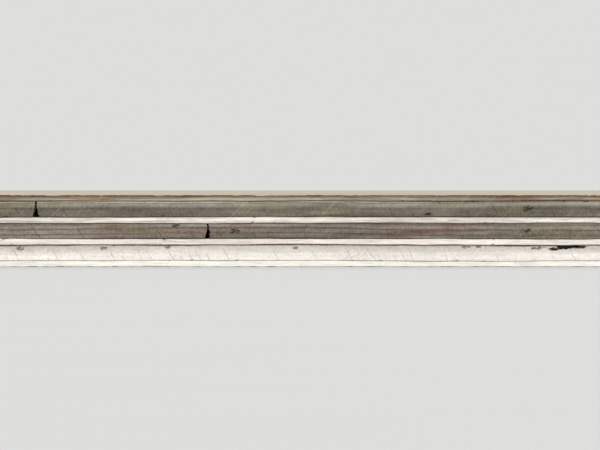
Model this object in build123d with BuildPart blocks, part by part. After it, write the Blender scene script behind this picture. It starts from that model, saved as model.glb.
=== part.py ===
from build123d import *

import os

# Plywood sheet of seven veneers glued crosswise, 18 mm thick. It lies flat: length along X, width
# along Y, thickness up Z. The origin is the middle of the underside. The front edge, the sawn long
# edge that shows the plies, is at the lowest Y.

# Whole sheet, millimetres
sheet_length = 2440.0
sheet_width = 1220.0

# Thickness of the veneers: thin ones with their grain along the length, and thick crossbands
# with their grain along the width. The two outer veneers have been sanded.
outer_thickness = 1.6
long_core_thickness = 1.55
crossband_thickness = 3.9

# Veneers lie side by side within one inner ply. Where two of them don't quite meet at a sawn
# edge, a wedge-shaped gap stays open, from its mouth in the edge to its tip.
gap_mouth = 1.0
gap_reach = 90.0

# Where the veneers of each crossband meet, from the middle of the sheet along its length
crossband_joints = {
    "lower_crossband": [-938.0, -452.0, 468.0, 1004.0],
    "middle_crossband": [-1046.0, -655.0, 43.0, 511.0, 866.0],
    "upper_crossband": [-861.0, -438.0, 0.0, 294.0, 386.0, 792.0, 1109.0],
}

# Where the veneers of each long core meet, from the middle of the sheet along its width
long_core_joints = {
    "lower_long_core": [-188.0, 236.0],
    "upper_long_core": [-341.0, 57.0, 402.0],
}

# Slits where a piece of veneer is missing under a glue line, at the top of a crossband and open
# to the front edge. Each has the place of its middle along the edge and its length.
front_slits = {"lower_crossband": [(-290.0, 5.0), (133.0, 6.2)]}
slit_height = 1.1
slit_depth = 3.5

half_length = sheet_length / 2
half_width = sheet_width / 2
ply_pair = crossband_thickness + long_core_thickness
core_top = outer_thickness + 3 * crossband_thickness + 2 * long_core_thickness


def cut_gap(mouth, along, inward):
    """Cut one open gap into the current sketch, from its mouth in the edge to its tip."""
    half_mouth = along * (gap_mouth / 2)
    tip = mouth + inward * gap_reach
    Polygon(mouth - half_mouth, mouth + half_mouth, tip, align=None, mode=Mode.SUBTRACT)


def write_ply(part, name):
    """Label a finished ply and write it to its own file."""
    part.label = name
    export_step(part, f"parts/{name}.step")


os.makedirs("parts", exist_ok=True)

# Back veneer, grain along the length
with BuildPart() as back_veneer:
    with BuildSketch(Plane.XY):
        Rectangle(sheet_length, sheet_width)
    extrude(amount=outer_thickness)
write_ply(back_veneer.part, "back_veneer")

# Crossbands, grain along the width, from the lowest to the highest
for index, (name, joints) in enumerate(crossband_joints.items()):
    bottom = outer_thickness + index * ply_pair
    slit_bottom = bottom + crossband_thickness - slit_height
    with BuildPart() as crossband:
        with BuildSketch(Plane.XY.offset(bottom)):
            Rectangle(sheet_length, sheet_width)
            for place in joints:
                cut_gap(Vector(place, -half_width), Vector(1, 0), Vector(0, 1))
                cut_gap(Vector(place, half_width), Vector(1, 0), Vector(0, -1))
        extrude(amount=crossband_thickness)
        for middle, length in front_slits.get(name, []):
            with BuildSketch(Plane.XY.offset(slit_bottom)):
                with Locations((middle, -half_width)):
                    Ellipse(length / 2, slit_depth)
            extrude(amount=slit_height, mode=Mode.SUBTRACT)
    write_ply(crossband.part, name)

# Long cores, grain along the length, each between two crossbands
for index, (name, joints) in enumerate(long_core_joints.items()):
    bottom = outer_thickness + crossband_thickness + index * ply_pair
    with BuildPart() as long_core:
        with BuildSketch(Plane.XY.offset(bottom)):
            Rectangle(sheet_length, sheet_width)
            for place in joints:
                cut_gap(Vector(-half_length, place), Vector(0, 1), Vector(1, 0))
                cut_gap(Vector(half_length, place), Vector(0, 1), Vector(-1, 0))
        extrude(amount=long_core_thickness)
    write_ply(long_core.part, name)

# Face veneer, grain along the length
with BuildPart() as face_veneer:
    with BuildSketch(Plane.XY.offset(core_top)):
        Rectangle(sheet_length, sheet_width)
    extrude(amount=outer_thickness)
write_ply(face_veneer.part, "face_veneer")
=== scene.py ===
"""A sheet of seven-ply plywood that lies flat, seen level at its sawn long edge.

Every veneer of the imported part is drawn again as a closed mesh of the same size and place, with
the wavy glue faces, the saw marks and the torn fibres of the real edge in its shape. The finer
grain, the pores, the lathe checks and the glue lines are in its material. Lengths inside the
formulas are millimetres, and meshes are in metres.
"""

from __future__ import annotations

import bisect
import logging
import math
import random
from collections.abc import Callable, Iterator
from dataclasses import dataclass
from enum import Enum
from functools import partial

import bmesh
import bpy
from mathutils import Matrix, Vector, noise


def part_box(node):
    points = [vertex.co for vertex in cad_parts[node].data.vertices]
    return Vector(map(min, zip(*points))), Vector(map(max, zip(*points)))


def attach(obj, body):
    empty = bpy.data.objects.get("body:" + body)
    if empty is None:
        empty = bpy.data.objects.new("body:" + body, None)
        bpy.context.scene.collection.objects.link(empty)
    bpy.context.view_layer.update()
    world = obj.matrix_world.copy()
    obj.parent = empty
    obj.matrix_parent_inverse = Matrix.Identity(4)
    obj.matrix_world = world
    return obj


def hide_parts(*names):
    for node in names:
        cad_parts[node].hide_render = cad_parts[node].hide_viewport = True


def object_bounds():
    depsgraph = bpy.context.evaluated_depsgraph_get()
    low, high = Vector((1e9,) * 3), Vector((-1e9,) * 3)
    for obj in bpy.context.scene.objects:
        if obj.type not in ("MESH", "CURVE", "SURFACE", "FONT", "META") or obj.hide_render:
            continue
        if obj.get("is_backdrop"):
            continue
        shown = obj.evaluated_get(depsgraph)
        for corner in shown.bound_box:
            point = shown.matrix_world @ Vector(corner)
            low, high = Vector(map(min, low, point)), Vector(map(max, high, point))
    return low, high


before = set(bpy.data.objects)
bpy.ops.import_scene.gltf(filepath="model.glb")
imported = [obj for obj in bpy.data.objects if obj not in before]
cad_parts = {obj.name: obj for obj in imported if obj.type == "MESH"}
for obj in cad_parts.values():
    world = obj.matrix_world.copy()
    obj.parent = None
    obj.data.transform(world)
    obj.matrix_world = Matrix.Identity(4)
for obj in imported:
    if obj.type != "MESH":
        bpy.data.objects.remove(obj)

MM = 0.001
SHOWN_MIDDLE = 0.066
LOG = logging.getLogger("plywood")


class Tone(Enum):
    """The colours of the wood, the glue and the studio, as red, green and blue up to 255."""

    SANDED_FACE = (211, 199, 180)
    SANDED_LATE = (170, 149, 124)
    FACE_BLOTCH = (190, 174, 150)
    TAN_EDGE = (166, 157, 143)
    # The face veneer's late wood, and also the painted shade along the upper part of its sawn edge.
    TAN_LATE_AND_SHADE = (104, 89, 70)
    GREY_BROWN = (188, 180, 168)
    GREY_LATE = (93, 86, 78)
    OLIVE_BLOTCH = (139, 131, 110)
    LIGHT_TAN = (236, 230, 220)
    TAN_STREAK = (180, 167, 151)
    MAUVE_BROWN = (150, 139, 128)
    MAUVE_LATE = (88, 75, 67)
    RED_STAIN = (120, 88, 72)
    RUST_BROWN = (124, 86, 54)
    OLIVE_STAIN = (134, 127, 99)
    PINK_BEIGE = (252, 244, 237)
    PINK_STREAK = (220, 203, 191)
    CREAM = (252, 248, 242)
    CREAM_LATE = (196, 187, 175)
    CREAM_BACK = (252, 248, 241)
    BACK_LATE = (232, 221, 205)
    GLUE = (88, 70, 56)
    # The crack tone is the lathe checks' own dark, and also painted shade in pits, slits and torn spots.
    CRACK_AND_HOLLOW_SHADE = (54, 42, 34)
    FIBRE = (246, 241, 232)
    FLOOR = (224, 224, 222)
    BACKDROP = (222, 222, 220)
    LAMP = (255, 254, 251)
    SKY_LAMP = (247, 250, 255)

    @property
    def linear(self) -> tuple[float, float, float, float]:
        """The colour in Blender's linear light, with an alpha of 1."""
        return (*(screen_to_linear(channel / 255) for channel in self.value), 1.0)


class Grain(Enum):
    """Which way the fibres of a veneer run."""

    LENGTH = "along the sheet's length"
    WIDTH = "along the sheet's width"


class Sanded(Enum):
    """Which face of a veneer was sanded, with the sheet already glued."""

    NEITHER = "an inner veneer"
    LOWER = "the back of the sheet"
    UPPER = "the face of the sheet"


def screen_to_linear(value: float) -> float:
    """Turn one screen channel from 0 to 1 into linear light."""
    return value / 12.92 if value <= 0.04045 else ((value + 0.055) / 1.055) ** 2.4


def reckoned(operation: str) -> Callable[..., Field]:
    """Write a method that reckons with a field, and with another amount where it takes one."""
    return lambda field, *other: field.graph.math(operation, field, *other)


class Field:
    """A node's output. Where it is a number, it is reckoned with like one."""

    __add__, __sub__ = reckoned("ADD"), reckoned("SUBTRACT")
    __mul__, __truediv__ = reckoned("MULTIPLY"), reckoned("DIVIDE")
    __abs__, power = reckoned("ABSOLUTE"), reckoned("POWER")
    fraction, whole = reckoned("FRACT"), reckoned("FLOOR")
    least, most = reckoned("MINIMUM"), reckoned("MAXIMUM")

    def __init__(self, graph: Graph, socket: bpy.types.NodeSocket) -> None:
        """Hold the output of a node."""
        self.graph = graph
        self.socket = socket

    def __rsub__(self, other: float) -> Field:
        """Take this field from a number."""
        return self.graph.math("SUBTRACT", other, self)

    def ranged(self, low: float, high: float) -> Field:
        """Stretch a field that goes from 0 to 1, so that it goes from low to high."""
        return self * (high - low) + low

    def step(self, low: Amount, high: Amount) -> Field:
        """Rise smoothly from 0 at low to 1 at high."""
        settings = {"interpolation_type": "SMOOTHSTEP", "clamp": True}
        return self.graph.output("ShaderNodeMapRange", (self, low, high), **settings)

    def chance(self) -> Field:
        """A random amount from 0 to 1, the same for the same number."""
        return self.graph.output("ShaderNodeTexWhiteNoise", {"W": self}, noise_dimensions="1D")


Amount = Field | float
Source = Field | float | str | tuple[float, ...]
Sources = dict[int | str, Source] | tuple[Source, ...]


class Graph:
    """A node tree that is written as formulas: each method adds nodes and gives their output."""

    PLACE: tuple[str, str]

    def __init__(self, tree: bpy.types.NodeTree) -> None:
        """Start on an empty tree."""
        self.tree = tree
        tree.nodes.clear()

    def node(self, kind: str, sources: Sources = (), **settings: object) -> bpy.types.Node:
        """Add a node.

        Args:
            kind: Blender's name for the node.
            sources: What goes into its inputs, in their order or by their names.
            settings: Its properties, by name.

        Returns:
            The new node.
        """
        made = self.tree.nodes.new(kind)
        for name, value in settings.items():
            setattr(made, name, value)
        placed = sources if isinstance(sources, dict) else dict(enumerate(sources))
        for place, source in placed.items():
            self.feed(made.inputs[place], source)
        return made

    def feed(self, socket: bpy.types.NodeSocket, source: Source) -> None:
        """Link a field to an input, or set the input's own value.

        Args:
            socket: The input.
            source: The field or the value.
        """
        if isinstance(source, Field):
            self.tree.links.new(source.socket, socket)
        else:
            socket.default_value = source

    def output(
        self, kind: str, sources: Sources = (), result: int | str = 0, **settings: object
    ) -> Field:
        """Add a node, as the node method does, and take one of its outputs."""
        return Field(self, self.node(kind, sources, **settings).outputs[result])

    def math(self, operation: str, *amounts: Amount) -> Field:
        """Reckon with one or two amounts."""
        return self.output("ShaderNodeMath", amounts, operation=operation)

    def vector(self, *amounts: Amount) -> Field:
        """Join up to three amounts to a vector, with 0 for what is left out."""
        return self.output("ShaderNodeCombineXYZ", amounts)

    def split(self, vector: Field) -> tuple[Field, Field, Field]:
        """Take a vector apart."""
        node = self.node("ShaderNodeSeparateXYZ", (vector,))
        return tuple(Field(self, socket) for socket in node.outputs)

    def scaled(self, vector: Source, amount: Amount) -> Field:
        """Multiply a vector or a colour by an amount."""
        sources = {"Vector": vector, "Scale": amount}
        return self.output("ShaderNodeVectorMath", sources, operation="SCALE")

    def summed(self, first: Field, second: Field) -> Field:
        """Add two vectors."""
        return self.output("ShaderNodeVectorMath", (first, second), operation="ADD")

    def place(self) -> tuple[Field, Field, Field]:
        """The point's place on the sheet, in millimetres."""
        kind, result = self.PLACE
        return self.split(self.scaled(self.output(kind, result=result), 1 / MM))

    def point(self, thickness: Amount, layer: Amount) -> Point:
        """Read the point that the formulas are reckoned for, with its veneer's thickness and number."""
        x, y, z = self.place()
        return Point(x, y, z, x + y, self.attribute("rise"), thickness, layer)


class ShaderGraph(Graph):
    """The formulas of a material."""

    PLACE = ("ShaderNodeTexCoord", "Object")
    FIRST_COLOUR, SECOND_COLOUR, MIXED_COLOUR = 6, 7, 2
    SPECULAR = 0.3

    def attribute(self, name: str) -> Field:
        """A number that the mesh holds for each point."""
        return self.output("ShaderNodeAttribute", result="Fac", attribute_name=name)

    def mixed(self, share: Amount, first: Source, second: Source) -> Field:
        """Mix two colours, the first where the share is 0 and the second where it is 1."""
        sources = {"Factor": share, self.FIRST_COLOUR: first, self.SECOND_COLOUR: second}
        return self.output("ShaderNodeMix", sources, self.MIXED_COLOUR, data_type="RGBA")

    def tinted(self, colour: Field, *coats: tuple[Field, Tone]) -> Field:
        """Lay coats over a colour.

        Args:
            colour: The colour below.
            coats: For each coat its share, from 0 to 1, and its tone.

        Returns:
            The colour with its coats.
        """
        for share, tone in coats:
            colour = self.mixed(share, colour, tone.linear)
        return colour

    def finish(self, colour: Field, roughness: Amount, height: Field) -> None:
        """End the material in its shader.

        Args:
            colour: The base colour.
            roughness: From 0, polished, to 1, dull.
            height: Fine relief in millimetres, which becomes the bump.
        """
        bump = self.output("ShaderNodeBump", {"Distance": MM, "Height": height}, "Normal")
        look = {"Base Color": colour, "Roughness": roughness, "Normal": bump}
        look["Specular IOR Level"] = self.SPECULAR
        shader = self.output("ShaderNodeBsdfPrincipled", look, "BSDF")
        self.node("ShaderNodeOutputMaterial", {"Surface": shader})


class ShapeGraph(Graph):
    """The formulas of a Geometry Nodes tree."""

    PLACE = ("GeometryNodeInputPosition", "Position")
    RANDOM_LOW, RANDOM_HIGH, RANDOM_SEED, RANDOM_NUMBER = 2, 3, 8, 1

    def attribute(self, name: str, data_type: str = "FLOAT") -> Field:
        """A number or a vector that the mesh holds for each point."""
        sources = {"Name": name}
        return self.output("GeometryNodeInputNamedAttribute", sources, "Attribute", data_type=data_type)

    def random(self, low: float, high: float, seed: int) -> Field:
        """A random number for each point."""
        sources = {self.RANDOM_LOW: low, self.RANDOM_HIGH: high, self.RANDOM_SEED: seed}
        return self.output("FunctionNodeRandomValue", sources, self.RANDOM_NUMBER, data_type="FLOAT")


@dataclass(frozen=True)
class Pattern:
    """Smooth noise: its blotches' length each way in millimetres, its number and its finer layers."""

    sizes: tuple[float, ...]
    number: float = 0.0
    detail: float = 1.0
    roughness: float = 0.6

    def drawn(self, *lengths: Field, seed: Amount = 0.0) -> Field:
        """Draw the pattern.

        Args:
            lengths: The lengths in millimetres that it follows, one for each of its sizes.
            seed: Which of many unlike patterns to take, added to its own number.

        Returns:
            The noise, mostly between 0.25 and 0.75.
        """
        graph = lengths[0].graph
        blotches = (length / size for length, size in zip(lengths, self.sizes))
        sources = {"Vector": graph.vector(*blotches), "W": seed + self.number, "Scale": 1.0}
        sources |= {"Detail": self.detail, "Roughness": self.roughness}
        return graph.output("ShaderNodeTexNoise", sources, noise_dimensions="4D")


@dataclass(frozen=True)
class Point:
    """A point of a veneer as the formulas know it, with its lengths in millimetres.

    Its edge is its place along whichever edge it is on, and its rise goes from 0 at the veneer's
    lower face to 1 at the upper one. The layer is the veneer's number, from below.
    """

    x: Field
    y: Field
    z: Field
    edge: Field
    rise: Field
    thickness: Amount
    layer: Amount

    def from_faces(self) -> tuple[Field, Field]:
        """How far it is from the veneer's lower face, and from the upper one."""
        return self.rise * self.thickness, (1.0 - self.rise) * self.thickness


@dataclass(frozen=True)
class SawMarks:
    """Slanted marks of the blade: a heavy one for each turn, and the lighter teeth between."""

    pitch: float = 7.6
    rise_over_run: float = 0.95
    teeth_per_turn: float = 5.0
    bend_radius: float = 180.0
    mid_height: float = 9.0
    heavy_sharpness: float = 13.0
    light_sharpness: float = 6.0
    light_height: float = 0.4
    slip: Pattern = Pattern((31.0,), 11.0)
    slip_length: float = 5.0
    strength: Pattern = Pattern((22.0, 7.0), 5.0, 2.0)
    wear: Pattern = Pattern((0.9, 0.9), 6.0, 2.0)

    def relief(self, point: Point) -> Field:
        """Reckon how far the marks stand out.

        Args:
            point: Where to reckon it.

        Returns:
            0 between the marks and 1 on the ridge of a heavy one.
        """
        level = point.z - self.mid_height
        curve = level * level / (2 * self.bend_radius)
        slip = self.slip.drawn(point.edge) * self.slip_length
        turns = (point.edge - level / self.rise_over_run + curve + slip) / self.pitch
        teeth = turns * self.teeth_per_turn + turns.whole().chance()
        strength = self.strength.drawn(point.edge, point.z).step(0.42, 0.68)
        worn = self.wear.drawn(point.edge, point.z).step(0.3, 0.6)
        heavy = self.ridge(turns, self.heavy_sharpness) * strength.ranged(0.15, 1.0)
        light = self.ridge(teeth, self.light_sharpness) * self.light_height * strength
        return heavy.most(light) * worn.ranged(0.4, 1.0)

    @staticmethod
    def ridge(turns: Field, sharpness: float) -> Field:
        """Rise to 1 at each whole number, from 0 halfway between."""
        return (abs(turns.fraction() - 0.5) * 2).power(sharpness)


@dataclass(frozen=True)
class GlueFaces:
    """The faces where two veneers meet, which wave a little up and down."""

    long_wave: Pattern = Pattern((46.0, 46.0))
    short_wave: Pattern = Pattern((8.0, 8.0))
    long_rise: float = 0.75
    short_rise: float = 0.3
    long_apart: float = 7.3
    short_apart: float = 3.1

    def lift(self, point: Point, face: Field) -> Field:
        """Reckon how far one glue face stands above its flat place.

        Args:
            point: Where to reckon it.
            face: The number of the glue face, from below.

        Returns:
            The lift in millimetres, below 0 where the face dips.
        """
        long = self.long_wave.drawn(point.x, point.y, seed=face * self.long_apart) - 0.5
        short = self.short_wave.drawn(point.x, point.y, seed=face * self.short_apart) - 0.5
        return long * self.long_rise + short * self.short_rise


@dataclass(frozen=True)
class TornPits:
    """Short pits beside the glue lines, where the saw has pulled slivers of veneer away."""

    length: float = 2.3
    number: float = 31.0
    side_apart: float = 17.0
    layer_apart: float = 5.7
    height: float = 4.0
    start: float = 0.6
    least: float = 0.001
    floor_share: float = 0.55

    def depth(self, point: Point) -> Field:
        """Reckon how deep the wall of one veneer is torn.

        Args:
            point: Where to reckon it.

        Returns:
            1 at the bottom of a pit and 0 on the wall.
        """
        pits = []
        for side, away in enumerate(point.from_faces()):
            runs = Pattern((self.length,), self.number + self.side_apart * side, 2.0)
            run = runs.drawn(point.edge, seed=point.layer * self.layer_apart) - self.start
            tall = (run * self.height).most(self.least)
            pits.append(1.0 - away.step(tall * self.floor_share, tall))
        return pits[0].most(pits[1])


@dataclass(frozen=True)
class SawnEdge:
    """What the press and the saw left in the edge, the same for its shape and its colour."""

    marks: SawMarks = SawMarks()
    faces: GlueFaces = GlueFaces()
    pits: TornPits = TornPits()


@dataclass(frozen=True)
class Stain:
    """A patch where something has soaked into the edge."""

    middle: float
    half_length: float
    tone: Tone
    strength: float = 0.65


@dataclass(frozen=True)
class VeneerFinish:
    """The look of one veneer, from its growth rings down to its pores and its glue lines."""

    name: str
    grain: Grain
    wood: Tone
    late: Tone
    blotch: Tone
    seed: float
    face: Tone | None = None
    face_late: Tone = Tone.SANDED_LATE
    ring_width: float = 1.3
    figure_length: float = 620.0
    figure_width: float = 90.0
    figure_depth: float = 3.5
    ring_strength: float = 0.75
    streak: float = 0.6
    patch: float = 0.5
    slope: float = 0.0
    slope_span: tuple[float, float] = (0.15, 1.0)
    pore: float = 0.4
    grit: float = 0.35
    tear: float = 0.5
    check_spacing: float = 2.4
    check_lean: float = 0.55
    check: float = 0.6
    burnish: float = 0.16
    glue_below: float = 0.19
    glue_above: float = 0.19
    lift: float = 0.0
    stains: tuple[Stain, ...] = ()

    FIBRES = Pattern((22.0, 0.34, 0.3), 0.0, 4.0)
    STAGGER, STAGGER_LENGTH = Pattern((0.7, 0.7), 12.0), 90
    BANDS = Pattern((190.0, 7.0, 1.6), 3.0, 2.0)
    SHIFT, SHIFT_LENGTH = Pattern((21.0, 4.0), 14.0), 900
    PORES = Pattern((5.0, 0.2, 0.2), 5.0, 0.0)
    PATCHES = Pattern((42.0, 2.2), 8.0, 4.0)
    MOTTLE = Pattern((5.0, 1.2), 24.0, 2.0)
    DRIFT = Pattern((1100.0, 190.0, 30.0), 10.0, 2.0)
    GRIT = Pattern((0.3, 0.3), 6.0, 3.0)
    TORN = Pattern((0.7, 4.0), 7.0, 3.0)
    BLOTCHES = Pattern((300.0, 38.0, 3.0), 9.0, 2.0)
    FEATHER = Pattern((60.0, 6.0), 4.0)
    RIPPLES, RIPPLE, FEATHERED = 4.5, 0.12, 0.2
    SANDED_RINGS, BLOTCHED, MOTTLED, DRIFTED = 0.7, 0.65, 0.8, 0.4
    STRIP_BLOTCH, STRIP_LIGHT = 0.1, 0.25
    # The pit and slit shares darken hollows that the mesh cuts too: painted shade. The hair share lightens
    # torn fibres.
    PIT_SHADE, SLIT_SHADE, HAIR_SHADE = 0.6, 0.75, 0.28
    ROUGHNESS = 0.8
    CHECK_WANDER = Pattern((1.6, 0.9), 13.0, 2.0)
    CHECK_STRAY = Pattern((17.0,), 15.0)
    GLUE_SPREAD = Pattern((1.4,), 17.0, 3.0)
    GLUE_STRENGTH = Pattern((15.0,), 19.0, 3.0)
    SOAKED = Pattern((15.0, 1 / 3), 21.0, 4.0)

    def build(self, edge_cut: SawnEdge, thickness: float, layer: int) -> bpy.types.Material:
        """Write the material.

        Args:
            edge_cut: The saw marks and pits, which the mesh has in its shape too.
            thickness: The veneer's thickness in millimetres.
            layer: The number of the veneer, from below.

        Returns:
            The new material.
        """
        material = bpy.data.materials.new(self.name)
        material.use_nodes = True
        graph = ShaderGraph(material.node_tree)
        point = graph.point(thickness, float(layer))
        edge, z = point.edge, point.z
        along, across = (point.x, point.y) if self.grain is Grain.LENGTH else (point.y, point.x)
        # The slit attribute is painted shade: it grows with the depth of the slit or torn spot that a point
        # lies in.
        sawn, end, hair, slit = (graph.attribute(name) for name in ("sawn", "end", "hair", "slit"))
        strip = graph.attribute("strip") - 0.5

        rings = self.rings(along, across, z)
        staggered = along + self.cloud(self.STAGGER, across, z) * self.STAGGER_LENGTH
        shifted = along + self.cloud(self.SHIFT, across, z) * self.SHIFT_LENGTH
        fibre = self.cloud(self.FIBRES, staggered, across, z) - 0.5
        band = self.cloud(self.BANDS, shifted, across, z) - 0.5
        pores = self.cloud(self.PORES, staggered, across, z).step(0.6, 0.72)
        patch = self.cloud(self.PATCHES, edge, z).ranged(-1.15, 1.15)
        mottle = self.cloud(self.MOTTLE, edge, z) - 0.5
        drift = self.cloud(self.DRIFT, along, across, z) - 0.5
        grit = (self.cloud(self.GRIT, edge, z) - 0.5) * sawn
        torn = (self.cloud(self.TORN, edge, z) - 0.5) * end
        blotches = self.cloud(self.BLOTCHES, along, across, z) + strip * self.STRIP_BLOTCH
        blotches = blotches.step(0.44, 0.68) * self.BLOTCHED
        checks = self.checks(point) * end
        marks = edge_cut.marks.relief(point) * sawn
        pits = edge_cut.pits.depth(point) * sawn
        glue = self.glue(point) * sawn
        # dim darkens the sawn edge towards the late tone, towards one face; on the face veneer this is
        # painted shade, the dark line of the gap to a sheet lying on it.
        dim_side = point.rise if self.slope < 0 else 1.0 - point.rise
        dim = dim_side.step(*self.slope_span) * sawn * abs(self.slope)
        soaked = [(self.soaked(point, stain) * sawn, stain.tone) for stain in self.stains]

        colour = graph.mixed(rings * self.ring_strength, self.wood.linear, self.late.linear)
        if self.face:
            rings_on_face = rings * self.SANDED_RINGS
            sanded = graph.mixed(rings_on_face, self.face.linear, self.face_late.linear)
            colour = graph.mixed(sawn, sanded, colour)
        colour = graph.tinted(colour, (blotches, self.blotch), (dim, self.late), *soaked)
        light = fibre * self.streak + band * self.streak + torn * self.tear + (1.0 + self.lift)
        light = light + grit * self.grit - pores * self.pore
        light = light + (patch + mottle * self.MOTTLED) * sawn * self.patch
        light = light + drift * self.DRIFTED + strip * self.STRIP_LIGHT
        colour = graph.tinted(
            graph.scaled(colour, light),
            (marks * self.burnish, Tone.FIBRE),
            (glue, Tone.GLUE),
            (checks * self.check, Tone.CRACK_AND_HOLLOW_SHADE),
            # Painted shade: the pit and slit coats darken the pits, slits and torn spots, hollows that the
            # mesh cuts too.
            (pits * self.PIT_SHADE, Tone.CRACK_AND_HOLLOW_SHADE),
            (slit * self.SLIT_SHADE, Tone.CRACK_AND_HOLLOW_SHADE),
            (hair * self.HAIR_SHADE, Tone.FIBRE),
        )
        relief = fibre * 0.04 - pores * 0.05 + torn * 0.06 + grit * 0.09 - checks * 0.15
        gloss = marks * 0.15 + rings * 0.08
        graph.finish(colour, self.ROUGHNESS - gloss, relief * sawn.ranged(0.15, 1.0))
        return material

    def cloud(self, pattern: Pattern, *lengths: Field) -> Field:
        """Draw a pattern in the way that is this veneer's own."""
        return pattern.drawn(*lengths, seed=self.seed)

    def rings(self, along: Field, across: Field, height: Field) -> Field:
        """Draw the growth rings, which the peeler's knife cuts at a shallow slope.

        Args:
            along: Place along the grain in millimetres.
            across: Place across the grain in millimetres.
            height: Height above the floor in millimetres.

        Returns:
            0 in the pale early wood and 1 in the dark late wood.
        """
        length, width = self.figure_length, self.figure_width
        broad = self.cloud(Pattern((length, width), 1.0), along, across)
        small = Pattern((length / self.RIPPLES, width / self.RIPPLES), 2.0)
        ripple = self.cloud(small, along, across) * self.RIPPLE
        feather = self.cloud(self.FEATHER, along, across) * self.ring_width * self.FEATHERED
        ring = (height + ((broad + ripple) * self.figure_depth + feather)) / self.ring_width
        growth = ring.fraction()
        late = growth.step(0.4, 0.93) * (1.0 - growth.step(0.95, 1.0))
        return late * ring.whole().chance().ranged(0.4, 1.0)

    def checks(self, point: Point) -> Field:
        """Draw the slanted cracks that peeling opens on the loose side of a veneer.

        Args:
            point: Where to draw them.

        Returns:
            1 in a crack and 0 elsewhere.
        """
        above, _ = point.from_faces()
        wander = self.cloud(self.CHECK_WANDER, point.edge, above) * 0.9
        stray = self.cloud(self.CHECK_STRAY, point.edge) * 6.0
        cell = (point.edge + above * self.check_lean + wander + stray) / self.check_spacing + self.seed
        off_centre = abs(cell.fraction() - 0.5) * self.check_spacing
        reach = cell.whole().chance().ranged(-0.6, 0.9)
        width = (cell.whole() + 0.5).chance().ranged(0.03, 0.08)
        open_here = 1.0 - (point.rise - reach).step(-0.12, 0.02)
        return (1.0 - off_centre.step(width * 0.3, width)) * open_here

    def glue(self, point: Point) -> Field:
        """Draw the thin glue lines at the faces that are glued.

        Args:
            point: Where to draw them.

        Returns:
            1 in the glue and 0 in the wood.
        """
        lines = []
        widths = (self.glue_below, self.glue_above)
        for side, (width, away) in enumerate(zip(widths, point.from_faces())):
            if width:
                spread = self.GLUE_SPREAD.drawn(point.edge, seed=self.seed + side) * width
                strength = self.GLUE_STRENGTH.drawn(point.edge, seed=self.seed + side)
                line = 1.0 - away.step(spread * 0.5, spread * 1.7)
                lines.append(line * strength.step(0.3, 0.62).ranged(0.15, 0.9))
        return lines[0].most(lines[-1])

    def soaked(self, point: Point, stain: Stain) -> Field:
        """Reckon how far one stain has soaked in.

        Args:
            point: Where to reckon it.
            stain: Where the stain lies and how strong it is.

        Returns:
            The stain's share of the colour.
        """
        away = abs(point.edge - (stain.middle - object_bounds()[1].y / MM))
        patchy = self.cloud(self.SOAKED, point.edge, point.rise).step(0.42, 0.62)
        inside = 1.0 - away.step(stain.half_length * 0.5, stain.half_length)
        return inside * patchy * stain.strength


@dataclass(frozen=True)
class Stretches:
    """How finely the edge is drawn, in metres: finest where it is seen close up."""

    close_half: float = 0.08
    close_step: float = 0.00016
    photographed_half: float = 0.42
    photographed_step: float = 0.002
    photographed_relief: float = 0.35
    far_step: float = 0.006
    gap_step: float = 0.006
    slit_margin: float = 0.001

    def step(self, place: Vector, front: bool, slits: list[Slit]) -> float:
        """Choose the length of the next step along the edge.

        Args:
            place: Where the step starts.
            front: Whether it is on the front edge.
            slits: The slits, which are drawn finely too.

        Returns:
            The step in metres.
        """
        if not front:
            return self.far_step
        if abs(place.x - SHOWN_MIDDLE) < self.close_half:
            return self.close_step
        if any(abs(place.x - slit.middle) < slit.length / 2 + self.slit_margin for slit in slits):
            return self.close_step
        return self.photographed_step if abs(place.x) < self.photographed_half else self.far_step

    def closeness(self, place: Vector, front: bool) -> float:
        """Reckon how much of the relief the mesh is fine enough to hold.

        Args:
            place: Where on the edge, in metres.
            front: Whether it is on the front edge.

        Returns:
            The share, from 0 to 1.
        """
        past = abs(place.x - SHOWN_MIDDLE) - self.close_half
        if not front or past < 0:
            return float(front)
        return max(0.0, self.photographed_relief * (1 - past / self.photographed_half))


@dataclass(frozen=True)
class Slit:
    """A short opening in the front edge, under a glue line, in metres."""

    middle: float
    length: float
    depth: float
    floor: float
    top: float

    RAGGED_LENGTH = 0.9 * MM
    RAGGED, FULL, LEFT_TALLER = 0.25, 0.8, 0.35

    def inset(self, place: Vector, height: float) -> float:
        """How far the wall lies back.

        Args:
            place: Where on the edge, in metres.
            height: The height in metres.

        Returns:
            The inset in metres, which is 0 outside the slit's ragged outline.
        """
        off = (place.x - self.middle) / (self.length / 2)
        if abs(off) >= 1 or place.y > 0:
            return 0.0
        ragged = noise.noise(Vector((place.x / self.RAGGED_LENGTH, 0.0, 0.0))) * self.RAGGED
        tall = (1 - off**4) * min(1.0, self.FULL + ragged - self.LEFT_TALLER * off)
        if height <= self.top - tall * (self.top - self.floor):
            return 0.0
        return self.depth * math.sqrt(1 - off * off)


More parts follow.
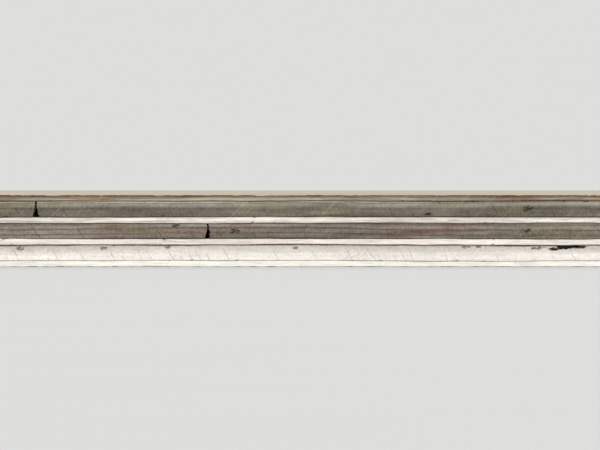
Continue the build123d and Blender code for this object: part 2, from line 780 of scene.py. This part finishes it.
@dataclass(frozen=True)
class TornSpot:
    """A small hollow where the saw pulled a bit of wood out of the front edge, in millimetres."""

    middle: float
    height: float
    half_length: float
    half_height: float
    depth: float = 0.6
    ragged: float = 1.5

    FARTHEST = 2
    TORN_ALONG, TORN_UP = 1.5, 2.6

    def inset(self, place: Vector, height: float) -> float:
        """How far the wall lies back.

        Args:
            place: Where on the edge, in metres.
            height: The height in metres.

        Returns:
            The inset in metres, which is 0 outside the hollow's ragged outline.
        """
        x, z = place.x / MM, height / MM
        along = (x - self.middle) / self.half_length
        if abs(along) >= self.FARTHEST or place.y > 0:
            return 0.0
        up = (z - self.height) / self.half_height
        torn = noise.noise(Vector((x * self.TORN_ALONG, z * self.TORN_UP, self.middle)))
        left = 1 - along * along - up * up + torn * self.ragged
        return self.depth * MM * math.sqrt(min(1.0, left)) if left > 0 else 0.0


@dataclass(frozen=True)
class Column:
    """One upright line of a ply's wall, and which way it may stray into a gap beside it."""

    place: Vector
    out: Vector
    sawn: float
    close: float
    stray: Vector


@dataclass(frozen=True)
class Run:
    """One straight run of a ply's outline."""

    start: Vector
    finish: Vector
    sawn: bool
    front: bool

    @property
    def length(self) -> float:
        """Its length in metres."""
        return (self.finish - self.start).length

    @property
    def along(self) -> Vector:
        """Which way it runs, counter-clockwise round the ply."""
        return (self.finish - self.start).normalized()

    @property
    def out(self) -> Vector:
        """Which way its wall faces."""
        return Vector((self.along.y, -self.along.x))


class PackedPly:
    """Reads the outline and the slits of one packed veneer."""

    TINY = 1e-5
    SLIT_APART = 0.02

    def __init__(self, node: str) -> None:
        """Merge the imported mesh's corners.

        Args:
            node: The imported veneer's name.
        """
        self.low, self.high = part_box(node)
        self.solid = bmesh.new()
        self.solid.from_mesh(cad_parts[node].data)
        bmesh.ops.remove_doubles(self.solid, verts=self.solid.verts, dist=self.TINY / 10)

    @property
    def thickness(self) -> float:
        """The veneer's thickness in metres."""
        return self.high.z - self.low.z

    def runs(self) -> list[Run]:
        """Walk round the underside.

        Returns:
            Its straight runs, counter-clockwise seen from above.
        """
        under = {
            face
            for face in self.solid.faces
            if all(abs(vert.co.z - self.low.z) < self.TINY for vert in face.verts)
        }
        following = {}
        for face in under:
            for loop in face.loops:
                if sum(other in under for other in loop.edge.link_faces) == 1:
                    following[loop.link_loop_next.vert] = loop.vert
        start = min(following, key=lambda vert: (vert.co.x, vert.co.y))
        walk = [start]
        while following[walk[-1]] is not start:
            walk.append(following[walk[-1]])
        corners = [vert.co.xy for vert in walk]
        return [self.run(*ends) for ends in zip(corners, corners[1:] + corners[:1])]

    def run(self, start: Vector, finish: Vector) -> Run:
        """Tell a sawn edge of the sheet from a gap's wall."""
        side = abs(start.y - finish.y) < self.TINY and abs(abs(start.y) - self.high.y) < self.TINY
        end = abs(start.x - finish.x) < self.TINY and abs(abs(start.x) - self.high.x) < self.TINY
        return Run(start, finish, side or end, side and start.y < 0)

    def slits(self) -> list[Slit]:
        """Find the slits that open to the front edge.

        Returns:
            One for each, from the lowest X to the highest.
        """
        inside = (vert.co.copy() for vert in self.solid.verts if self.within(vert.co.z))
        groups: list[list[Vector]] = []
        for point in sorted(inside, key=lambda corner: corner.x):
            if not groups or point.x - groups[-1][-1].x > self.SLIT_APART:
                groups.append([])
            groups[-1].append(point)
        return [
            Slit(
                middle=(group[0].x + group[-1].x) / 2,
                length=group[-1].x - group[0].x,
                depth=max(point.y for point in group) - self.low.y,
                floor=group[0].z,
                top=self.high.z,
            )
            for group in groups
        ]

    def within(self, height: float) -> bool:
        """Whether a height lies between the veneer's two faces."""
        return self.low.z + self.TINY < height < self.high.z - self.TINY


class PlyTree:
    """Geometry Nodes that turn a smooth blank into a sawn veneer."""

    CUTS = ("Saw Depth", "Tear Depth", "Pit Depth", "Recess", "Chip Depth")
    OF_PLY = (*CUTS, "Hairs", "Hair Length", "Hair Radius")
    INPUTS = {
        "Geometry": ("Blank",),
        "Float": ("Layer", "Thickness", "Lower Wave", "Upper Wave", *OF_PLY),
        "Vector": ("Hair Lie",),
        "Int": ("Seed",),
        "Material": ("Material",),
    }
    TORN = Pattern((0.55, 0.9), 0.5, 3.0)
    WANDER, WANDER_DEPTH = Pattern((13.0, 30.0), 9.0), 0.3
    CHIPS = Pattern((2.2, 1.0), 0.7, 3.0)
    SLIVERS = Pattern((14.0,), 0.8, 2.0)
    CHIP_SLANT = 1.2
    RAGGED = Pattern((0.7, 3.0, 0.8), 0.2, 3.0)
    LEAN, GAP_LEAN = Pattern((70.0, 70.0), 8.0), 1.8
    LEAN_FROM, LEAN_MOST, GAP_SHUT = 0.35, 0.26, 0.46
    UPRIGHT = 0.5
    HAIR_SIDES, HAIR_SEGMENTS = 3, 3
    CURL_SIZE, CURL = 0.9, 0.2

    def __init__(self, edge_cut: SawnEdge) -> None:
        """Write the tree.

        Args:
            edge_cut: What the press and the saw left in the edge.
        """
        self.edge_cut = edge_cut
        self.tree = bpy.data.node_groups.new("sawn_veneer", "GeometryNodeTree")
        self.graph = ShapeGraph(self.tree)
        sockets = self.tree.interface
        sockets.new_socket("Geometry", in_out="OUTPUT", socket_type="NodeSocketGeometry")
        self.inputs = {
            name: sockets.new_socket(name, in_out="INPUT", socket_type=f"NodeSocket{kind}").identifier
            for kind, names in self.INPUTS.items()
            for name in names
        }
        self.given = self.graph.node("NodeGroupInput")
        wall = self.sawn()
        joined = self.graph.node("GeometryNodeJoinGeometry")
        for shape in (self.hairs(wall), wall):
            self.graph.feed(joined.inputs[0], shape)
        both = Field(self.graph, joined.outputs[0])
        real = self.graph.output("GeometryNodeRealizeInstances", {"Geometry": both})
        painted = {"Geometry": real, "Material": self.input("Material")}
        self.graph.node("NodeGroupOutput", (self.graph.output("GeometryNodeSetMaterial", painted),))

    def input(self, name: str) -> Field:
        """The value of a named input."""
        return Field(self.graph, self.given.outputs[name])

    def sawn(self) -> Field:
        """Move the blank's points to the shape of the sawn veneer.

        Returns:
            The moved mesh.
        """
        graph, edge_cut = self.graph, self.edge_cut
        point = graph.point(self.input("Thickness"), self.input("Layer"))
        x, y, z, edge, rise = point.x, point.y, point.z, point.edge, point.rise
        close, sawn, arris = (graph.attribute(name) for name in ("close", "sawn", "arris"))
        seed = self.input("Seed")
        lower = edge_cut.faces.lift(point, point.layer) * self.input("Lower Wave")
        upper = edge_cut.faces.lift(point, point.layer + 1.0) * self.input("Upper Wave")
        lift = lower + (upper - lower) * rise

        marks = edge_cut.marks.relief(point) * self.input("Saw Depth")
        torn = (self.TORN.drawn(edge, z, seed=seed) - 0.5) * self.input("Tear Depth")
        pits = edge_cut.pits.depth(point) * self.input("Pit Depth")
        wander = (self.WANDER.drawn(edge, z) - 0.5) * self.WANDER_DEPTH
        hollow = rise * (1.0 - rise) * 4 * self.input("Recess")
        relief = (marks + torn - pits + wander) * close - hollow
        chip = self.CHIPS.drawn(edge, z, seed=seed).step(0.48, 0.72)
        sliver = self.SLIVERS.drawn(edge, seed=seed).step(0.6, 0.66)
        chip = chip.most(sliver) * arris * close * self.input("Chip Depth")
        out = graph.scaled(graph.attribute("out", "FLOAT_VECTOR"), (relief * sawn - chip) * MM)

        lean = self.LEAN.drawn(x, y) * self.GAP_LEAN
        lean = ((rise - self.LEAN_FROM) * lean).least(self.LEAN_MOST)
        ragged = (self.RAGGED.drawn(x, y, z, seed=seed) - 0.5 + lean).least(self.GAP_SHUT)
        stray = graph.scaled(graph.attribute("stray", "FLOAT_VECTOR"), ragged * MM)
        up = graph.vector(0.0, 0.0, (lift - (rise - 0.5) * chip * self.CHIP_SLANT) * MM)
        moved = {"Geometry": self.input("Blank"), "Offset": graph.summed(graph.summed(out, stray), up)}
        return graph.output("GeometryNodeSetPosition", moved)

    def hairs(self, wall: Field) -> Field:
        """Set fine torn fibres on the sawn wall.

        Args:
            wall: The sawn mesh.

        Returns:
            The fibres, as one mesh.
        """
        graph = self.graph
        _, _, upright = graph.split(graph.output("GeometryNodeInputNormal"))
        spread = {
            "Mesh": wall,
            "Selection": graph.math("LESS_THAN", abs(upright), self.UPRIGHT),
            "Density": self.input("Hairs") * graph.attribute("close") * graph.attribute("sawn"),
            "Seed": self.input("Seed"),
        }
        points = graph.node("GeometryNodeDistributePointsOnFaces", spread)
        cone = {
            "Vertices": self.HAIR_SIDES,
            "Side Segments": self.HAIR_SEGMENTS,
            "Radius Top": 0.0,
            "Radius Bottom": self.input("Hair Radius") * MM,
            "Depth": self.input("Hair Length") * MM,
        }
        lie = graph.scaled(self.input("Hair Lie"), graph.random(-1.0, 1.0, 3))
        away = graph.scaled(Field(graph, points.outputs["Normal"]), graph.random(0.15, 0.8, 5))
        stray = graph.vector(0.0, 0.0, graph.random(-0.35, 0.35, 7))
        turned = {"Vector": graph.summed(graph.summed(lie, away), stray)}
        placed = {
            "Points": Field(graph, points.outputs["Points"]),
            "Instance": graph.output("GeometryNodeMeshCone", cone, "Mesh"),
            "Rotation": graph.output("FunctionNodeAlignRotationToVector", turned, axis="Z"),
            "Scale": graph.vector(1.0, 1.0, graph.random(0.25, 1.0, 9)),
        }
        instances = graph.output("GeometryNodeInstanceOnPoints", placed)
        mark = {"Geometry": instances, "Name": "hair", "Value": 1.0}
        stored = {"data_type": "FLOAT", "domain": "INSTANCE"}
        marked = graph.output("GeometryNodeStoreNamedAttribute", mark, **stored)
        real = graph.output("GeometryNodeRealizeInstances", {"Geometry": marked})

        place = graph.place()
        bent = [
            axis + (Pattern((self.CURL_SIZE,) * 3, number).drawn(*place) - 0.5) * self.CURL
            for number, axis in enumerate(place, 1)
        ]
        bent[2] = bent[2].most(0.0)
        curled = {"Geometry": real, "Position": graph.scaled(graph.vector(*bent), MM)}
        return graph.output("GeometryNodeSetPosition", curled)

    def applied(self, blank: bpy.types.Object, values: dict[str, object]) -> bpy.types.Mesh:
        """Run the tree on a blank.

        Args:
            blank: The object to shape.
            values: The tree's inputs, by name.

        Returns:
            The result as a plain mesh.
        """
        modifier = blank.modifiers.new("sawn", "NODES")
        modifier.node_group = self.tree
        for name, value in values.items():
            modifier[self.inputs[name]] = value
        evaluated = blank.evaluated_get(bpy.context.evaluated_depsgraph_get())
        mesh = bpy.data.meshes.new_from_object(evaluated)
        blank.modifiers.remove(modifier)
        return mesh


@dataclass(frozen=True)
class Ply:
    """One veneer of the sheet: how finely it is drawn, how it was sawn and how it looks."""

    node: str
    slot: str
    layer: int
    finish: VeneerFinish
    rows: int
    tear_depth: float
    recess: float
    hairs: float
    spots: tuple[TornSpot, ...] = ()
    sanded: Sanded = Sanded.NEITHER
    chip_depth: float = 0.0
    blunt: float = 0.05
    rim: float = 0.004
    saw_depth: float = 0.08
    pit_depth: float = 0.4
    hair_length: float = 1.1
    hair_radius: float = 0.034
    torn_beside_gap: float = 0.0012
    sawn_fade: float = 0.0003
    hollow_shade_depth: float = 0.0011
    # How deep a slit or torn spot must be for its painted shade to be at its darkest.
    sharp_turn: float = math.radians(48)

    HELD = ("rise", "sawn", "arris", "close", "end", "strip", "slit")
    SPENT = ("out", "stray", "close", "arris")

    def build(self, tree: PlyTree, stretches: Stretches) -> bpy.types.Object:
        """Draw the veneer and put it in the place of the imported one.

        Args:
            tree: The Geometry Nodes that shape the sawn edge.
            stretches: How finely each stretch is drawn.

        Returns:
            The finished object.
        """
        packed = PackedPly(self.node)
        thickness = packed.thickness / MM
        material = self.finish.build(tree.edge_cut, thickness, self.layer)
        piece = bpy.data.objects.new(f"{self.node}_wood", self.blank(packed, stretches))
        bpy.context.scene.collection.objects.link(piece)
        along_length = self.finish.grain is Grain.LENGTH
        values = {name: getattr(self, name.lower().replace(" ", "_")) for name in tree.OF_PLY}
        values |= {
            "Layer": float(self.layer),
            "Thickness": thickness,
            "Lower Wave": float(self.sanded is not Sanded.LOWER),
            "Upper Wave": float(self.sanded is not Sanded.UPPER),
            "Hair Lie": (1.0, 0.0, 0.0) if along_length else (0.25, 0.0, 0.15),
            "Seed": self.layer,
            "Material": material,
        }
        piece.data = tree.applied(piece, values)
        for name in self.SPENT:
            piece.data.attributes.remove(piece.data.attributes[name])
        piece.data.set_sharp_from_angle(angle=self.sharp_turn)
        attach(piece, "root")
        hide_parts(self.node)
        return piece

    def section(self) -> list[tuple[float, float, float]]:
        """List the rows of the wall, from the lower face to the upper one.

        Returns:
            For each row its inset in metres, its height from 0 to 1, and its share of the arris.
        """
        wall = [(0.0, row / self.rows, 0.0) for row in range(self.rows + 1)]
        if self.sanded is Sanded.NEITHER:
            return wall
        blunt, rim = self.blunt, self.rim / MM
        arris = [(0.0, 0.8, 0.5), (0.0, 0.9 - blunt / 2, 0.8), (blunt / 3, 0.99 - blunt / 4, 1.0)]
        arris.append((0.1 + blunt, 1.0, 1.0))
        top = [(0.5 + blunt, 1.0, 0.5), (1.1, 1.0, 0.15), (2.0, 1.0, 0.0), (rim, 1.0, 0.0)]
        turned = [(inset * MM, level, share) for inset, level, share in (*arris, *top)]
        if self.sanded is Sanded.UPPER:
            return wall[:-1] + turned
        return [(inset, 1 - level, share) for inset, level, share in reversed(turned)] + wall[1:]

    def columns(self, runs: list[Run], slits: list[Slit], stretches: Stretches) -> Iterator[Column]:
        """Walk round the outline, column by column.

        Args:
            runs: The outline.
            slits: The slits in it.
            stretches: How finely each stretch is drawn.

        Yields:
            The columns, counter-clockwise.
        """
        clear = self.rim * 1.2 if self.sanded is not Sanded.NEITHER else stretches.close_step / 2
        for before, run, after in zip([runs[-1], *runs], runs, [*runs[1:], runs[0]]):
            gone = 0.0
            while gone < run.length - clear:
                place = run.start + run.along * gone
                edge = before if not gone and before.sawn and not run.sawn else run
                corner = not gone and before.sawn == run.sawn
                out = before.out + run.out if corner else edge.out
                close = stretches.closeness(place, edge.front)
                stray = self.stray(before, run, after, gone)
                yield Column(place, out, float(edge.sawn), close, stray)
                gone += stretches.step(place, edge.front, slits) if run.sawn else stretches.gap_step

    def stray(self, before: Run, run: Run, after: Run, gone: float) -> Vector:
        """Find how far a column takes part in the ragged walls of a gap.

        Args:
            before: The run before the column's own.
            run: The column's own run.
            after: The run after it.
            gone: How far along its run the column stands, in metres.

        Returns:
            The direction into the gap, shorter the less the column takes part.
        """
        left = run.length - gone
        if not run.sawn:
            return run.out * (left if before.sawn else gone) / run.length
        share = Vector((0.0, 0.0))
        for gap, distance in ((before, gone), (after, left)):
            if not gap.sawn:
                share += gap.out * max(0.0, 1 - distance / self.torn_beside_gap)
        return share

    def strips(self, runs: list[Run], axis: int) -> list[float]:
        """List where the side-by-side veneers of the ply meet: at the tips of its gaps.

        Args:
            runs: The outline.
            axis: The axis across the grain.

        Returns:
            The places in metres, from the lowest to the highest.
        """
        pairs = zip([runs[-1], *runs], runs)
        met = [run.start[axis] for before, run in pairs if not (before.sawn or run.sawn)]
        return sorted({round(place, 4) for place in met})

    def blank(self, packed: PackedPly, stretches: Stretches) -> bpy.types.Mesh:
        """Draw the smooth veneer that the tree works on.

        Args:
            packed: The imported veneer.
            stretches: How finely each stretch is drawn.

        Returns:
            A closed mesh with what the tree and the material need to know of each point.
        """
        section, slits, runs = self.section(), packed.slits(), packed.runs()
        columns = list(self.columns(runs, slits, stretches))
        grain, across = (Vector((1, 0)), 1) if self.finish.grain is Grain.LENGTH else (Vector((0, 1)), 0)
        strips = self.strips(runs, across)
        tones = [random.Random(f"{self.node} {index}").random() for index in range(len(strips) + 1)]
        tones = tones if strips else [0.5]
        points, held = [], []
        for column in columns:
            tone = tones[bisect.bisect(strips, column.place[across])]
            for inset, level, arris in section:
                height = packed.low.z + level * packed.thickness
                hole = sum(torn.inset(column.place, height) for torn in (*slits, *self.spots))
                place = column.place - column.out * (inset + hole)
                sawn = column.sawn * max(0.0, 1 - inset / self.sawn_fade)
                end = abs(column.out.dot(grain)) * sawn
                points.append((place.x, place.y, height))
                # The last value, held as slit, is painted shade: it grows with the depth of a slit or torn
                # spot.
                held.append((level, sawn, arris, column.close, end, tone, min(1.0, hole / self.hollow_shade_depth)))
        mesh = bpy.data.meshes.new(self.node)
        faces = self.faces(len(columns), len(section))
        mesh.from_pydata(points, [], faces)
        mesh.polygons.foreach_set("use_smooth", [True] * (len(faces) - 2) + [False] * 2)
        for name, values in zip(self.HELD, zip(*held)):
            mesh.attributes.new(name, "FLOAT", "POINT").data.foreach_set("value", values)
        for name in ("out", "stray"):
            ways = [axis for column in columns for axis in (*getattr(column, name), 0.0) * len(section)]
            mesh.attributes.new(name, "FLOAT_VECTOR", "POINT").data.foreach_set("vector", ways)
        self.cut_caps(mesh)
        return mesh

    @staticmethod
    def faces(count: int, depth: int) -> list[tuple[int, ...]]:
        """Join the points of a blank, each column of them to the next.

        Args:
            count: How many columns there are.
            depth: How many points each has.

        Returns:
            The faces of its wall, and last its underside and its top.
        """
        wall = [
            (one + row, two + row, two + row + 1, one + row + 1)
            for one in range(0, count * depth, depth)
            for two in [(one + depth) % (count * depth)]
            for row in range(depth - 1)
        ]
        under = tuple(one * depth for one in reversed(range(count)))
        return [*wall, under, tuple(one * depth + depth - 1 for one in range(count))]

    @staticmethod
    def cut_caps(mesh: bpy.types.Mesh) -> None:
        """Cut the two many-sided faces of a blank into triangles.

        Args:
            mesh: The blank.
        """
        edit = bmesh.new()
        edit.from_mesh(mesh)
        caps = [face for face in edit.faces if len(face.verts) > 4]
        bmesh.ops.triangulate(edit, faces=caps, ngon_method="EAR_CLIP")
        edit.to_mesh(mesh)
        edit.free()


@dataclass(frozen=True)
class PlywoodSheet:
    """The whole sheet: seven veneers, laid crosswise from the back to the face."""

    edge_cut: SawnEdge = SawnEdge()
    stretches: Stretches = Stretches()

    def plies(self) -> tuple[Ply, ...]:
        """Describe the veneers.

        Returns:
            The veneers, from the lowest to the highest.
        """
        outer = partial(Ply, slot="outer_veneer", rows=8, tear_depth=0.12, recess=-0.02)
        core = partial(Ply, slot="long_core", rows=8, tear_depth=0.08, recess=-0.04, hairs=9e5)
        crossband = partial(Ply, slot="crossband", rows=22, hairs=1.3e6)
        across = partial(VeneerFinish, grain=Grain.WIDTH)
        along = partial(VeneerFinish, grain=Grain.LENGTH, check=0.0)
        sanded = partial(along, ring_width=1.5, figure_length=2100.0, figure_width=150.0, figure_depth=18.0)
        return (
            outer(
                node="back_veneer", layer=0, sanded=Sanded.LOWER, hairs=9e5, chip_depth=0.45, blunt=0.25,
                finish=sanded(
                    name="back_wood", wood=Tone.CREAM_BACK, late=Tone.BACK_LATE, blotch=Tone.PINK_BEIGE,
                    seed=10.0, face=Tone.CREAM_BACK, face_late=Tone.BACK_LATE, ring_strength=0.15,
                    streak=0.3, patch=0.2, pore=0.1, grit=0.15, glue_below=0.0, glue_above=0.05,
                ),
            ),
            crossband(
                node="lower_crossband", layer=1, tear_depth=0.22, recess=0.03,
                spots=(
                    TornSpot(-4.0, 4.6, 0.9, 0.5), TornSpot(17.0, 4.5, 0.8, 0.45),
                    TornSpot(33.0, 4.8, 0.7, 0.35), TornSpot(65.0, 4.6, 0.7, 0.35),
                    TornSpot(107.5, 4.9, 1.1, 0.45), TornSpot(111.0, 5.1, 0.8, 0.35),
                    TornSpot(125.5, 4.8, 1.5, 0.4),
                    TornSpot(129.6, 4.55, 1.3, 0.4, depth=1.5, ragged=0.6),
                    TornSpot(136.1, 5.05, 1.7, 0.4, depth=1.5, ragged=0.6),
                ),
                finish=across(
                    name="lower_crossband_wood", wood=Tone.CREAM, late=Tone.CREAM_LATE,
                    blotch=Tone.CREAM_BACK, seed=20.0, ring_strength=0.15, streak=0.3, patch=0.3,
                    slope=-0.8, slope_span=(0.25, 1.0), pore=0.15, grit=0.25, tear=0.25, check=0.25,
                    glue_below=0.06, glue_above=0.5,
                ),
            ),
            core(
                node="lower_long_core", layer=2,
                finish=along(
                    name="lower_core_wood", wood=Tone.PINK_BEIGE, late=Tone.PINK_STREAK,
                    blotch=Tone.LIGHT_TAN, seed=33.0, ring_strength=0.2, streak=0.4, patch=0.5,
                    pore=0.2, grit=0.2, glue_below=0.22, glue_above=0.08, lift=0.09,
                ),
            ),
            crossband(
                node="middle_crossband", layer=3, tear_depth=0.28, recess=0.06,
                spots=(
                    TornSpot(35.0, 10.4, 1.0, 0.4), TornSpot(50.0, 8.9, 1.2, 0.6),
                    TornSpot(123.0, 9.1, 0.9, 0.45),
                ),
                finish=across(
                    name="middle_crossband_wood", wood=Tone.MAUVE_BROWN, late=Tone.MAUVE_LATE,
                    blotch=Tone.OLIVE_BLOTCH, seed=40.0, ring_strength=1.0, patch=0.9, slope=0.15,
                    stains=(
                        Stain(36.0, 26.0, Tone.RED_STAIN), Stain(98.0, 16.0, Tone.RED_STAIN),
                        Stain(27.0, 7.0, Tone.OLIVE_STAIN), Stain(126.0, 16.0, Tone.OLIVE_STAIN),
                    ),
                ),
            ),
            core(
                node="upper_long_core", layer=4,
                finish=along(
                    name="upper_core_wood", wood=Tone.LIGHT_TAN, late=Tone.TAN_STREAK,
                    blotch=Tone.PINK_BEIGE, seed=50.0, ring_strength=0.5, streak=0.45, patch=0.8,
                    pore=0.3, grit=0.2, glue_below=0.08, glue_above=0.08,
                ),
            ),
            crossband(
                node="upper_crossband", layer=5, tear_depth=0.28, recess=0.06,
                spots=(TornSpot(98.0, 13.1, 0.8, 0.4), TornSpot(123.0, 14.4, 1.2, 0.6)),
                finish=across(
                    name="upper_crossband_wood", wood=Tone.GREY_BROWN, late=Tone.GREY_LATE,
                    blotch=Tone.OLIVE_BLOTCH, seed=60.0, ring_strength=0.7, patch=0.9, slope=0.85,
                    slope_span=(0.0, 0.52), glue_above=0.04,
                    stains=(
                        Stain(64.0, 18.0, Tone.OLIVE_STAIN), Stain(112.0, 16.0, Tone.OLIVE_STAIN),
                        Stain(3.0, 22.0, Tone.OLIVE_STAIN),
                    ),
                ),
            ),
            outer(
                node="face_veneer", layer=6, sanded=Sanded.UPPER, hairs=1.2e6, chip_depth=0.6,
                finish=sanded(
                    # The slope darkens the upper part of this edge: painted shade, the dark line of the gap
                    # to a sheet lying on it.
                    name="face_wood", wood=Tone.TAN_EDGE, late=Tone.TAN_LATE_AND_SHADE, blotch=Tone.FACE_BLOTCH,
                    seed=70.0, face=Tone.SANDED_FACE, streak=0.4, patch=1.0, slope=-0.9,
                    slope_span=(0.3, 0.85), pore=0.5, grit=0.2, glue_below=0.04, glue_above=0.0,
                    stains=(Stain(2.0, 24.0, Tone.RUST_BROWN), Stain(128.0, 34.0, Tone.RUST_BROWN)),
                ),
            ),
        )

    def build(self) -> None:
        """Build every veneer in turn and report it."""
        tree = PlyTree(self.edge_cut)
        for ply in self.plies():
            piece = ply.build(tree, self.stretches)
            piece.data.calc_loop_triangles()
            LOG.info("%s: %d triangles", piece.name, len(piece.data.loop_triangles))


@dataclass(frozen=True)
class Lamp:
    """A soft lamp so far away that it lights everything alike."""

    name: str
    azimuth: float
    elevation: float
    level: float
    softness: float
    tone: Tone

    def build(self) -> None:
        """Hang the lamp: azimuth 0 is in front of the sheet and 90 to its right, in degrees."""
        light = bpy.data.lights.new(self.name, "SUN")
        light.energy = self.level * math.pi
        light.angle = math.radians(self.softness)
        light.color = self.tone.linear[:3]
        lamp = bpy.data.objects.new(self.name, light)
        azimuth, elevation = math.radians(self.azimuth), math.radians(self.elevation)
        level = math.cos(elevation)
        towards = Vector((math.sin(azimuth) * level, -math.cos(azimuth) * level, math.sin(elevation)))
        lamp.rotation_euler = towards.to_track_quat("Z", "Y").to_euler()
        bpy.context.scene.collection.objects.link(lamp)


@dataclass(frozen=True)
class Studio:
    """A plain pale floor, soft light all round and three soft lamps."""

    floor_half: float = 120.0
    floor_specks: Pattern = Pattern((40.0, 40.0, 1.0), 1.0, 3.0)
    speck: float = 0.02
    floor_roughness: float = 0.9
    room_level: float = 0.52
    lamps: tuple[Lamp, ...] = (
        Lamp("key", azimuth=-50, elevation=32, level=0.54, softness=9, tone=Tone.LAMP),
        Lamp("fill", azimuth=35, elevation=28, level=0.14, softness=40, tone=Tone.SKY_LAMP),
        Lamp("behind", azimuth=160, elevation=35, level=0.16, softness=40, tone=Tone.SKY_LAMP),
    )

    def build(self) -> None:
        """Lay the floor, light the room and hang the lamps."""
        self.lay_floor()
        self.light_room()
        for lamp in self.lamps:
            lamp.build()

    def lay_floor(self) -> None:
        """Lay a flat pale floor at the height that the sheet lies on."""
        half = self.floor_half
        corners = [(-half, -half, 0.0), (half, -half, 0.0), (half, half, 0.0), (-half, half, 0.0)]
        mesh = bpy.data.meshes.new("floor")
        mesh.from_pydata(corners, [], [(0, 1, 2, 3)])
        material = bpy.data.materials.new("floor")
        material.use_nodes = True
        graph = ShaderGraph(material.node_tree)
        speck = (self.floor_specks.drawn(*graph.place()) - 0.5) * self.speck
        graph.finish(graph.scaled(Tone.FLOOR.linear[:3], speck + 1.0), self.floor_roughness, speck)
        mesh.materials.append(material)
        floor = bpy.data.objects.new("floor", mesh)
        bpy.context.scene.collection.objects.link(floor)
        floor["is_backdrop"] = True

    def light_room(self) -> None:
        """Light the room evenly, and show the camera a backdrop as pale as the floor."""
        world = bpy.data.worlds.new("room")
        world.use_nodes = True
        bpy.context.scene.world = world
        graph = ShaderGraph(world.node_tree)
        path = graph.node("ShaderNodeLightPath")
        kinds = ("Camera", "Glossy", "Transmission")
        rays = [Field(graph, path.outputs[f"Is {kind} Ray"]) for kind in kinds]
        seen = rays[0].most(rays[1]).most(rays[2])
        colour = graph.mixed(seen, (*[self.room_level] * 3, 1.0), Tone.BACKDROP.linear)
        background = graph.output("ShaderNodeBackground", {"Color": colour})
        graph.node("ShaderNodeOutputWorld", {"Surface": background})


@dataclass(frozen=True)
class Viewpoint:
    """The camera: level with the sheet, square to the middle of its long edge, in metres."""

    distance: float = 1.0
    elevation: float = 0.55
    frame_width: float = 0.15
    look_above_floor: float = 0.0105
    sensor: float = 36.0
    nearest: float = 0.05
    farthest: float = 400.0

    def build(self) -> None:
        """Set the camera up and aim it at the front edge."""
        low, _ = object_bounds()
        target = Vector((SHOWN_MIDDLE, low.y, self.look_above_floor))
        angle = math.radians(self.elevation)
        back = Vector((0.0, -math.cos(angle), math.sin(angle)))
        lens = bpy.data.cameras.new("camera")
        lens.sensor_width = self.sensor
        lens.lens = self.sensor * self.distance / self.frame_width
        lens.clip_start, lens.clip_end = self.nearest, self.farthest
        camera = bpy.data.objects.new("camera", lens)
        camera.location = target + back * self.distance
        camera.rotation_euler = (-back).to_track_quat("-Z", "Y").to_euler()
        bpy.context.scene.collection.objects.link(camera)
        bpy.context.scene.camera = camera


def main() -> None:
    """Build the camera, the studio and the sheet."""
    logging.basicConfig(level=logging.INFO, format="%(message)s")
    cad_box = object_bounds()
    bpy.context.scene.view_settings.view_transform = "Standard"
    Viewpoint().build()
    Studio().build()
    PlywoodSheet().build()
    boxes = {"cad": cad_box, "visual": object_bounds()}
    {name: [list(corner) for corner in box] for name, box in boxes.items()}


if __name__ == "__main__":
    main()
